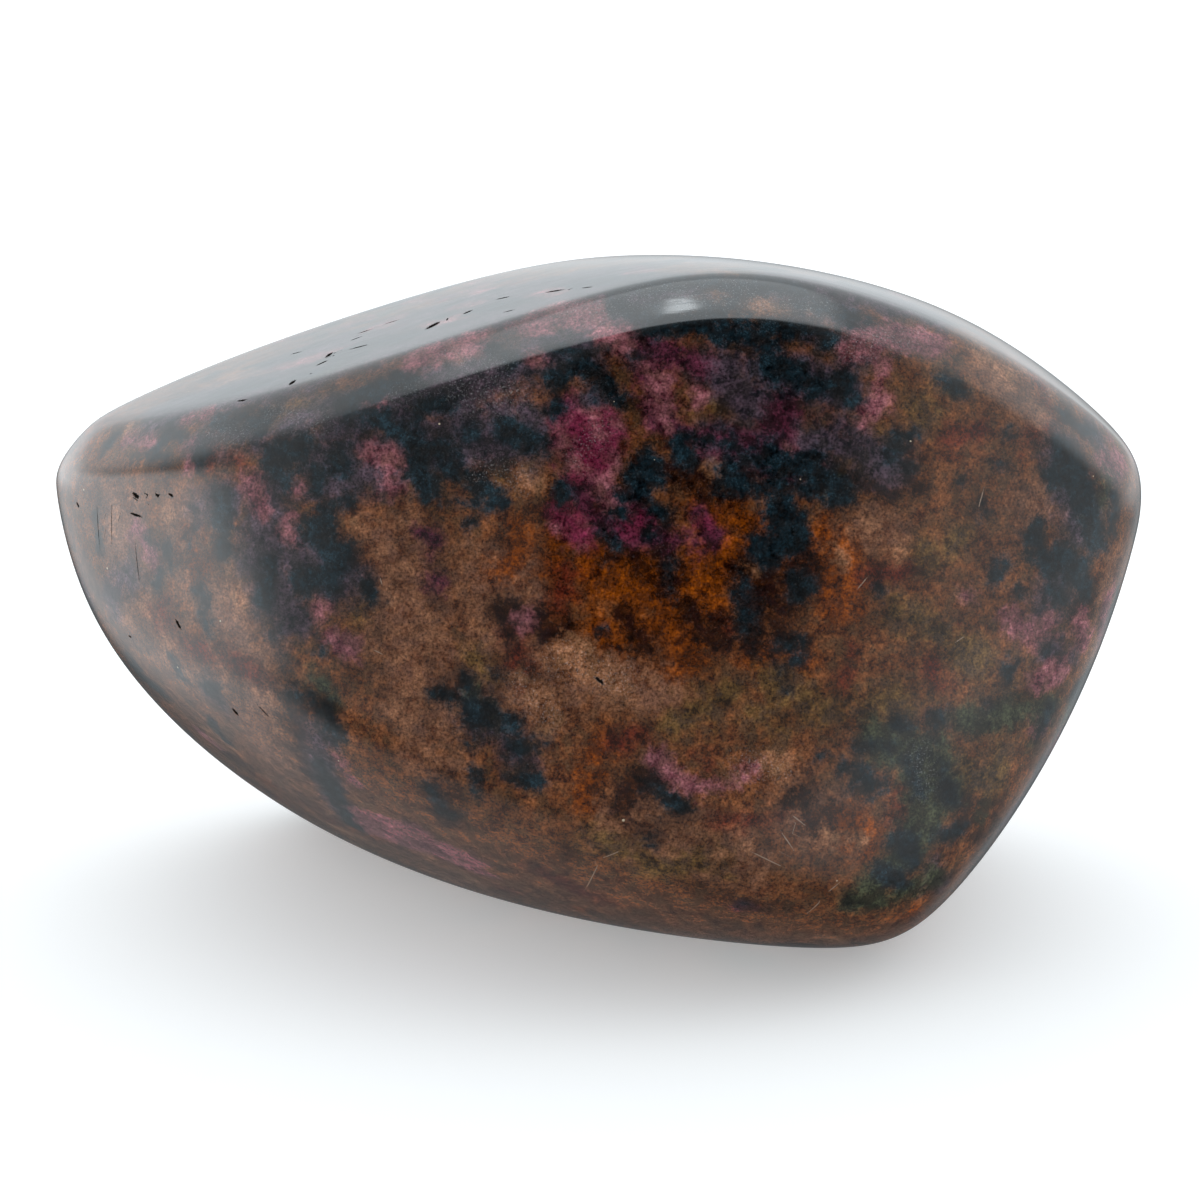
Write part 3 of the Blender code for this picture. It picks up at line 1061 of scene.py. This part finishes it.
# %% Mix the minerals
MATRIX_TONES = ("#341609", "#7b4929", "#4d3421")
MINERALS = {
    # attribute: dark, light, stray tone, fray, millimetres it moves and softens the edge
    "clay": ("#4a2716", "#835940", "#604032", "fray a", 10.0, 2.0),
    "ochre": ("#280b02", "#8c4309", "#4a240e", "fray b", -9.0, 1.4),
    "rust": ("#200603", "#692818", "#3a1810", "fray c", 8.0, 1.4),
    "umber": ("#080201", "#40200e", "#1c0a0a", "fray b", -9.0, 1.4),
    "olive": ("#281809", "#6b4e2a", "#402f24", "fray a", -9.0, 1.6),
    "pale": ("#5b341d", "#a06f51", "#785338", "fray b", 6.0, 1.0),
    "mauve": ("#0c0f15", "#55434d", "#2a2426", "fray c", -8.0, 1.6),
    "plum": ("#13040a", "#622c3e", "#2c161c", "fray c", 8.0, 1.1),
    "rose": ("#42131f", "#9c6066", "#6c4340", "fray b", 5.5, 0.8),
    "magenta": ("#3c0519", "#7c2c46", "#58222e", "fray a", -6.0, 1.1),
    "green": ("#0a0b07", "#444632", "#29251a", "fray b", -7.0, 1.2),
    "oxide": ("#000306", "#1c2d35", "#151313", "fray a", 6.5, 0.9),
}
grain_share = add_node(tree, "MapRange", {0: clouds["grain"], 1: 0.40, 2: 0.60})
mottle_share = add_node(tree, "MapRange", {0: clouds["mottle"], 1: 0.42, 2: 0.58})
light_share = add_node(tree, "Mix", {0: 0.5, 2: grain_share, 3: mottle_share})
stray_share = add_node(tree, "MapRange", {0: clouds["stray"], 1: 0.46, 2: 0.60, 4: 0.8})


def wandering_tone(dark, light, stray):
    """From dark to light with grain and mottle, and towards the stray tone in some clouds."""
    tones = {6: linear(dark), 7: linear(light)}
    tone = add_node(tree, "Mix", {0: light_share, **tones}, out=2, **COLOURS)
    return add_node(tree, "Mix", {0: stray_share, 6: tone, 7: linear(stray)}, out=2, **COLOURS)


colour = wandering_tone(*MATRIX_TONES)
shares = {}
for mineral, (dark, light, stray, fray, reach, softness) in MINERALS.items():
    depth = add_node(tree, "Attribute", {}, out=2, attribute_name=mineral)
    edge = add_node(tree, "Math", {0: clouds[fray], 1: 0.5}, operation="SUBTRACT")
    frayed = add_node(tree, "Math", {0: edge, 1: reach, 2: depth}, **ADD_SCALED)
    shares[mineral] = add_node(tree, "MapRange", {0: frayed, 1: -softness, 2: softness}, **SMOOTH)
    tone = wandering_tone(dark, light, stray)
    colour = add_node(tree, "Mix", {0: shares[mineral], 6: colour, 7: tone}, out=2, **COLOURS)
print("minerals mixed:", len(shares))

# %% [markdown]
# ### Sugar, painted glint and flecks
#
# Sugar multiplies the colour by 0.35 to 1.65, shade by 0.62 to 1.34. A painted glint adds a little
# white to single grains everywhere, and much where the painted glint strokes lie: painted sparkle,
# for the light that rough grains catch. A few flecks, up to 0.3 mm wide, are pale grains of quartz,
# painted light partly for their own colour and partly as a painted glint of the light they catch.
# They sit in the cells of a Voronoi pattern, about one in three.

# %% Grain of the colour
# Painted glint: white added to the colour of single grains, faintly everywhere, strongly in its
# strokes.
FAINT_PAINTED_SPARKLE = 0.035
STRONG_PAINTED_SPARKLE = 0.30
FLECK_CELLS = 0.42
LARGEST_FLECK = 0.07
sugar = add_node(tree, "MapRange", {0: clouds["sugar"], 1: 0.34, 2: 0.66, 3: 0.35, 4: 1.65})
shade = add_node(tree, "MapRange", {0: clouds["shade"], 1: 0.36, 2: 0.64, 3: 0.62, 4: 1.34})
strength = add_node(tree, "Math", {0: sugar, 1: shade}, **MULTIPLY)
grained = add_node(tree, "VectorMath", {0: colour, "Scale": strength}, operation="SCALE")
# painted glint: the white sparkle on the grains is added to the colour here
painted_glint_depth = add_node(tree, "Attribute", {}, out=2, attribute_name="painted_glint")
painted_glint_look = {0: painted_glint_depth, 1: -1.5, 2: 1.0, 3: FAINT_PAINTED_SPARKLE, 4: STRONG_PAINTED_SPARKLE}
painted_glint_share = add_node(tree, "MapRange", painted_glint_look, **SMOOTH)
painted_sparkle = add_node(tree, "MapRange", {0: clouds["painted_sparkle"], 1: 0.56, 2: 0.78})
painted_sparkle = add_node(tree, "Math", {0: painted_sparkle, 1: painted_glint_share}, **MULTIPLY)
grained = add_node(tree, "VectorMath", {0: grained, 1: painted_sparkle}, operation="ADD")
# Painted glint: pale quartz flecks, painted light partly for their own colour, partly for the light
# they catch.
painted_glint_flecks = add_node(tree, "TexVoronoi", {"Vector": place, "Scale": FLECK_CELLS})
cell_number = painted_glint_flecks.node.outputs["Color"]
fleck_size = add_node(tree, "MapRange", {0: cell_number, 1: 0.62, 2: 1.0, 3: 0.0, 4: LARGEST_FLECK})
painted_glint_fleck_share = add_node(tree, "Math", {0: painted_glint_flecks, 1: fleck_size}, operation="LESS_THAN")
painted_glint_fleck_look = {0: painted_glint_fleck_share, 6: grained, 7: linear("#b8a890")}
grained = add_node(tree, "Mix", painted_glint_fleck_look, out=2, **COLOURS)
print("one cell for a fleck every", round(1 / FLECK_CELLS, 1), "mm")

# %% [markdown]
# ### Pits and veins in the material
#
# The length of a mark's coordinates is 1 on its rim, all the way round. The sugar is added to it,
# so that the rim is ragged. A vein is a pale, healed crack and only changes the colour. A pit has
# no polish at all, so later it becomes a dull hollow, painted dark as painted shade inside it, and
# the bump pushes it in by 0.15 mm.

# %% Draw the marks
RIM_STARTS = 0.6
RIM_ENDS = 1.0
RAGGEDNESS = {"pit": 1.2, "vein": 2.4}
mark_share = {}
for mark, raggedness in RAGGEDNESS.items():
    mark_place = add_node(tree, "Attribute", {}, out=1, attribute_name=mark)
    distance = add_node(tree, "VectorMath", {0: mark_place}, out=1, operation="LENGTH")
    rim = add_node(tree, "Math", {0: clouds["sugar"], 1: raggedness, 2: distance}, **ADD_SCALED)
    middle = raggedness / 2
    rim_look = {0: rim, 1: RIM_STARTS + middle, 2: RIM_ENDS + middle, 3: 1.0, 4: 0.0}
    mark_share[mark] = add_node(tree, "MapRange", rim_look, **SMOOTH)
vein_look = {0: mark_share["vein"], 6: grained, 7: linear("#8c7666")}
veined = add_node(tree, "Mix", vein_look, out=2, **COLOURS)
print("kinds of mark:", list(mark_share))

# %% [markdown]
# ### The polish
#
# No hand-held stone leaves the wheel quite true. A very low wave and faint streaks, drawn out along
# the stone as the wheel ran, bend the reflections, and without them it would look like plastic. The
# roughness of 0.06 keeps the edges of the mirrored room a little soft; on the oxide it is nearly
# twice that.

# %% Finish the material
PIT_DEPTH = 0.15
WAVE_DEPTH = 0.03
DRAWN_OUT = (0.12, 1.0, 1.0)
roughness = add_node(tree, "Math", {0: shares["oxide"], 1: 0.05, 2: 0.06}, **ADD_SCALED)
pits_in_waves = {0: mark_share["pit"], 1: -PIT_DEPTH / WAVE_DEPTH, 2: clouds["wave"]}
relief = add_node(tree, "Math", pits_in_waves, **ADD_SCALED)
along_wheel = add_node(tree, "VectorMath", {0: place, 1: DRAWN_OUT}, **MULTIPLY)
streaks = add_node(tree, "TexNoise", {"Vector": along_wheel, "Scale": 0.7, "Detail": 3.0})
relief = add_node(tree, "Math", {0: streaks, 1: 0.4, 2: relief}, **ADD_SCALED)
bump = add_node(tree, "Bump", {"Height": relief, "Distance": WAVE_DEPTH * MM, "Strength": 1.0})
polished = {"Base Color": veined, "Roughness": roughness, "IOR": 1.73, "Normal": bump}
shine = add_node(tree, "BsdfPrincipled", polished)
# Painted shade: the pit is dull and painted nearly black for the shadow inside it.
pit_painted_shade = add_node(tree, "BsdfDiffuse", {"Color": linear("#15120f")})
surface = add_node(tree, "MixShader", {0: mark_share["pit"], 1: shine, 2: pit_painted_shade})
add_node(tree, "OutputMaterial", {"Surface": surface})
stone_mesh.materials.append(polish)
print("nodes in the polish:", len(tree.nodes))

# %% [markdown]
# ## The studio
#
# The stone stands on a pale floor in soft light. A polished thing is mostly a picture of its room,
# so the room is worked out as a function of direction. There is a window on the left, a pale wall
# behind, a skylight over the stone, and in front of it the dark shape of the one who holds the
# camera, with the black opening of the camera's hood. In the mirror of that opening the colours of
# the stone show without a veil. The floor is left out of the mirror, because the room goes on there.
#
# The floor is white paper with a faint glow of its own. That brings it close to the plain white of
# the background, and keeps only a soft shadow under the stone.

# %% Floor
FLOOR_HALF = 6.0
PAPER_GLOW = 0.3
floor_mesh = bpy.data.meshes.new("floor")
corners = [(x * FLOOR_HALF, y * FLOOR_HALF, 0) for x, y in ((-1, -1), (1, -1), (1, 1), (-1, 1))]
floor_mesh.from_pydata(corners, [], [(0, 1, 2, 3)])
paper = bpy.data.materials.new("white_paper")
paper.use_nodes = True
paper_look = paper.node_tree.nodes["Principled BSDF"].inputs
paper_look["Base Color"].default_value = linear("#f6f6f6")
paper_look["Roughness"].default_value = 0.9
paper_look["Emission Color"].default_value = linear("#ffffff")
paper_look["Emission Strength"].default_value = PAPER_GLOW
floor_mesh.materials.append(paper)
floor = bpy.data.objects.new("floor", floor_mesh)
floor.visible_glossy = False
bpy.context.scene.collection.objects.link(floor)
print("floor is", 2 * FLOOR_HALF, "metres wide")

# %% [markdown]
# ### The room in the mirror
#
# Every part of the room is a soft step along some direction, and its limits are cosines or sines
# of angles. The cosine between two directions is their dot product. The lights could be real lamps
# and panels, but each one would also light the body of the stone. As a formula, the mirror can be
# set without touching the colours.

# %% Directions in the room
room = bpy.data.worlds.new("pale_room")
room.use_nodes = True
tree = room.node_tree
tree.nodes.clear()
way = add_node(tree, "TexCoord", {})
TOWARDS = {
    "across": ACROSS,
    "back": np.array([0.0, 1.0, 0.0]),
    "up": np.array([0.0, 0.0, 1.0]),
    "camera": TO_CAMERA,
    "picture up": UPWARD,
    "window": direction(-105, 0),
    "skylight": direction(180, 84),
    "lamp": direction(-151, 78),
}
toward = {
    name: add_node(tree, "VectorMath", {0: way, 1: tuple(axis)}, out=1, operation="DOT_PRODUCT")
    for name, axis in TOWARDS.items()
}
aside = add_node(tree, "Math", {0: toward["across"]}, operation="ABSOLUTE")
print("directions:", list(toward))

# %% [markdown]
# ### Walls, window, skylight and holder
#
# A part that is limited on several sides is the product of its steps. The limits were found from
# the edges of the reflections on the stone: a direction in the room is the way to the camera,
# turned over the outward direction of the surface where the edge shows.

# %% Parts of the room
STEPS = {
    # name: what is measured, where the step starts, where it is complete
    "window width": (toward["window"], 0.45, 0.95),
    "window top": (toward["up"], 0.25, 0.05),
    "window foot": (toward["up"], -1.0, -0.65),
    "skylight": (toward["skylight"], 0.895, 0.93),
    "lamp": (toward["lamp"], 0.9985, 0.9995),
    "back wall": (toward["back"], -0.10, 0.75),
    "upper wall": (toward["up"], 0.0, 0.35),
    "ceiling": (toward["up"], 0.60, 0.95),
    "above floor": (toward["up"], -0.32, -0.08),
    "low wall side": (toward["across"], 0.15, 0.45),
    "low wall foot": (toward["up"], -0.80, -0.40),
    "low wall top": (toward["up"], -0.02, -0.25),
    "left floor side": (toward["across"], -0.05, -0.50),
    "left floor top": (toward["up"], -0.45, -0.70),
    "holder width": (aside, 0.85, 0.25),
    "holder front": (toward["back"], 0.0, -0.15),
    "holder height": (toward["up"], 0.965, 0.94),
    "hood left": (toward["across"], -0.125, -0.107),
    "hood right": (toward["across"], 0.42, 0.16),
    "hood foot": (toward["picture up"], -0.22, -0.06),
    "hood top": (toward["picture up"], 0.78, 0.50),
    "hood front": (toward["camera"], 0.0, 0.1),
}
step = {
    name: add_node(tree, "MapRange", {0: value, 1: start, 2: end}, **SMOOTH)
    for name, (value, start, end) in STEPS.items()
}
PRODUCTS = {
    "window": ("window width", "window top", "window foot"),
    "low wall": ("low wall side", "low wall foot", "low wall top"),
    "left floor": ("left floor side", "left floor top"),
    "holder": ("holder width", "holder front", "holder height"),
    "hood": ("hood left", "hood right", "hood foot", "hood top", "hood front"),
}
for name, (first_factor, *factors) in PRODUCTS.items():
    product = step[first_factor]
    for factor in factors:
        product = add_node(tree, "Math", {0: product, 1: step[factor]}, **MULTIPLY)
    step[name] = product
print("parts of the room:", len(step))

# %% [markdown]
# ### How bright each part is
#
# White is 1. The walls brighten upwards, the holder hides them, the window, floor and skylight are
# added on top, and the hood of the camera takes all light away. The lamp is small and strong: it
# makes the one glint on the crown of the band.

# %% Light in the mirror
DIM = 0.12
WALL_LIGHT = 0.42
BACK_WALL_LIGHT = 1.06
CEILING_LIGHT = 0.35
WINDOW_LIGHT = 1.5
LOW_WALL_LIGHT = 0.4
SKYLIGHT = 1.05
LEFT_FLOOR_LIGHT = 0.25
LAMP = 5.0
wall_rise = add_node(tree, "Math", {0: step["upper wall"], 1: 0.5, 2: 0.5}, **ADD_SCALED)
back_wall = add_node(tree, "Math", {0: step["back wall"], 1: wall_rise}, **MULTIPLY)
walls = add_node(tree, "Math", {0: back_wall, 1: BACK_WALL_LIGHT, 2: WALL_LIGHT}, **ADD_SCALED)
walls = add_node(tree, "Math", {0: walls, 1: step["above floor"]}, **MULTIPLY)
walls = add_node(tree, "Math", {0: step["ceiling"], 1: CEILING_LIGHT, 2: walls}, **ADD_SCALED)
unhidden = add_node(tree, "Math", {0: 1.0, 1: step["holder"]}, operation="SUBTRACT")
mirrored = add_node(tree, "Math", {0: walls, 1: unhidden, 2: DIM}, **ADD_SCALED)
LIGHTS = {
    "window": WINDOW_LIGHT,
    "low wall": LOW_WALL_LIGHT,
    "left floor": LEFT_FLOOR_LIGHT,
    "skylight": SKYLIGHT,
    "lamp": LAMP,
}
for lamp, level in LIGHTS.items():
    mirrored = add_node(tree, "Math", {0: step[lamp], 1: level, 2: mirrored}, **ADD_SCALED)
open_room = add_node(tree, "Math", {0: 1.0, 1: step["hood"]}, operation="SUBTRACT")
mirrored = add_node(tree, "Math", {0: mirrored, 1: open_room}, **MULTIPLY)
print("darkest and brightest wall:", DIM, round(DIM + WALL_LIGHT + BACK_WALL_LIGHT, 2))

# %% [markdown]
# ### The light that falls on the stone
#
# The colours need an even, soft light, as from a tent, a little stronger from behind and above. So
# the rays that light the body of the stone see a plain tent, the rays of the mirror see the room,
# and the camera sees white. The Light Path node tells the rays apart. Mixing three whole light
# shaders, not three numbers, lets Blender skip the ones that a ray doesn't see, and saves a fifth of
# the render's time.

# %% Tent, mirror and camera
TENT_FRONT = 0.6
TENT_BACK = 1.35
tent = add_node(
    tree, "MapRange", {0: toward["back"], 1: -0.9, 2: 0.5, 3: TENT_FRONT, 4: TENT_BACK}, **SMOOTH
)
is_camera = add_node(tree, "LightPath", {}, out=0)
is_mirror = add_node(tree, "LightPath", {}, out=3)
daylight = {"Color": linear("#f4fbff")}
tent_light = add_node(tree, "Background", {**daylight, "Strength": tent})
room_light = add_node(tree, "Background", {**daylight, "Strength": mirrored})
plain_white = add_node(tree, "Background", daylight)
light = add_node(tree, "MixShader", {0: is_mirror, 1: tent_light, 2: room_light})
light = add_node(tree, "MixShader", {0: is_camera, 1: light, 2: plain_white})
add_node(tree, "OutputWorld", {"Surface": light})
bpy.context.scene.world = room
print("nodes in the room:", len(tree.nodes))

# %% [markdown]
# ## Colours as they are on a screen
#
# All tones above were chosen on a screen. The Standard view shows them unchanged, while the
# usual film-like one would grey the white floor and dull the rose.

# %% Colour handling
bpy.context.scene.view_settings.view_transform = "Standard"
bpy.context.scene.view_settings.look = "None"
print("view:", bpy.context.scene.view_settings.view_transform)
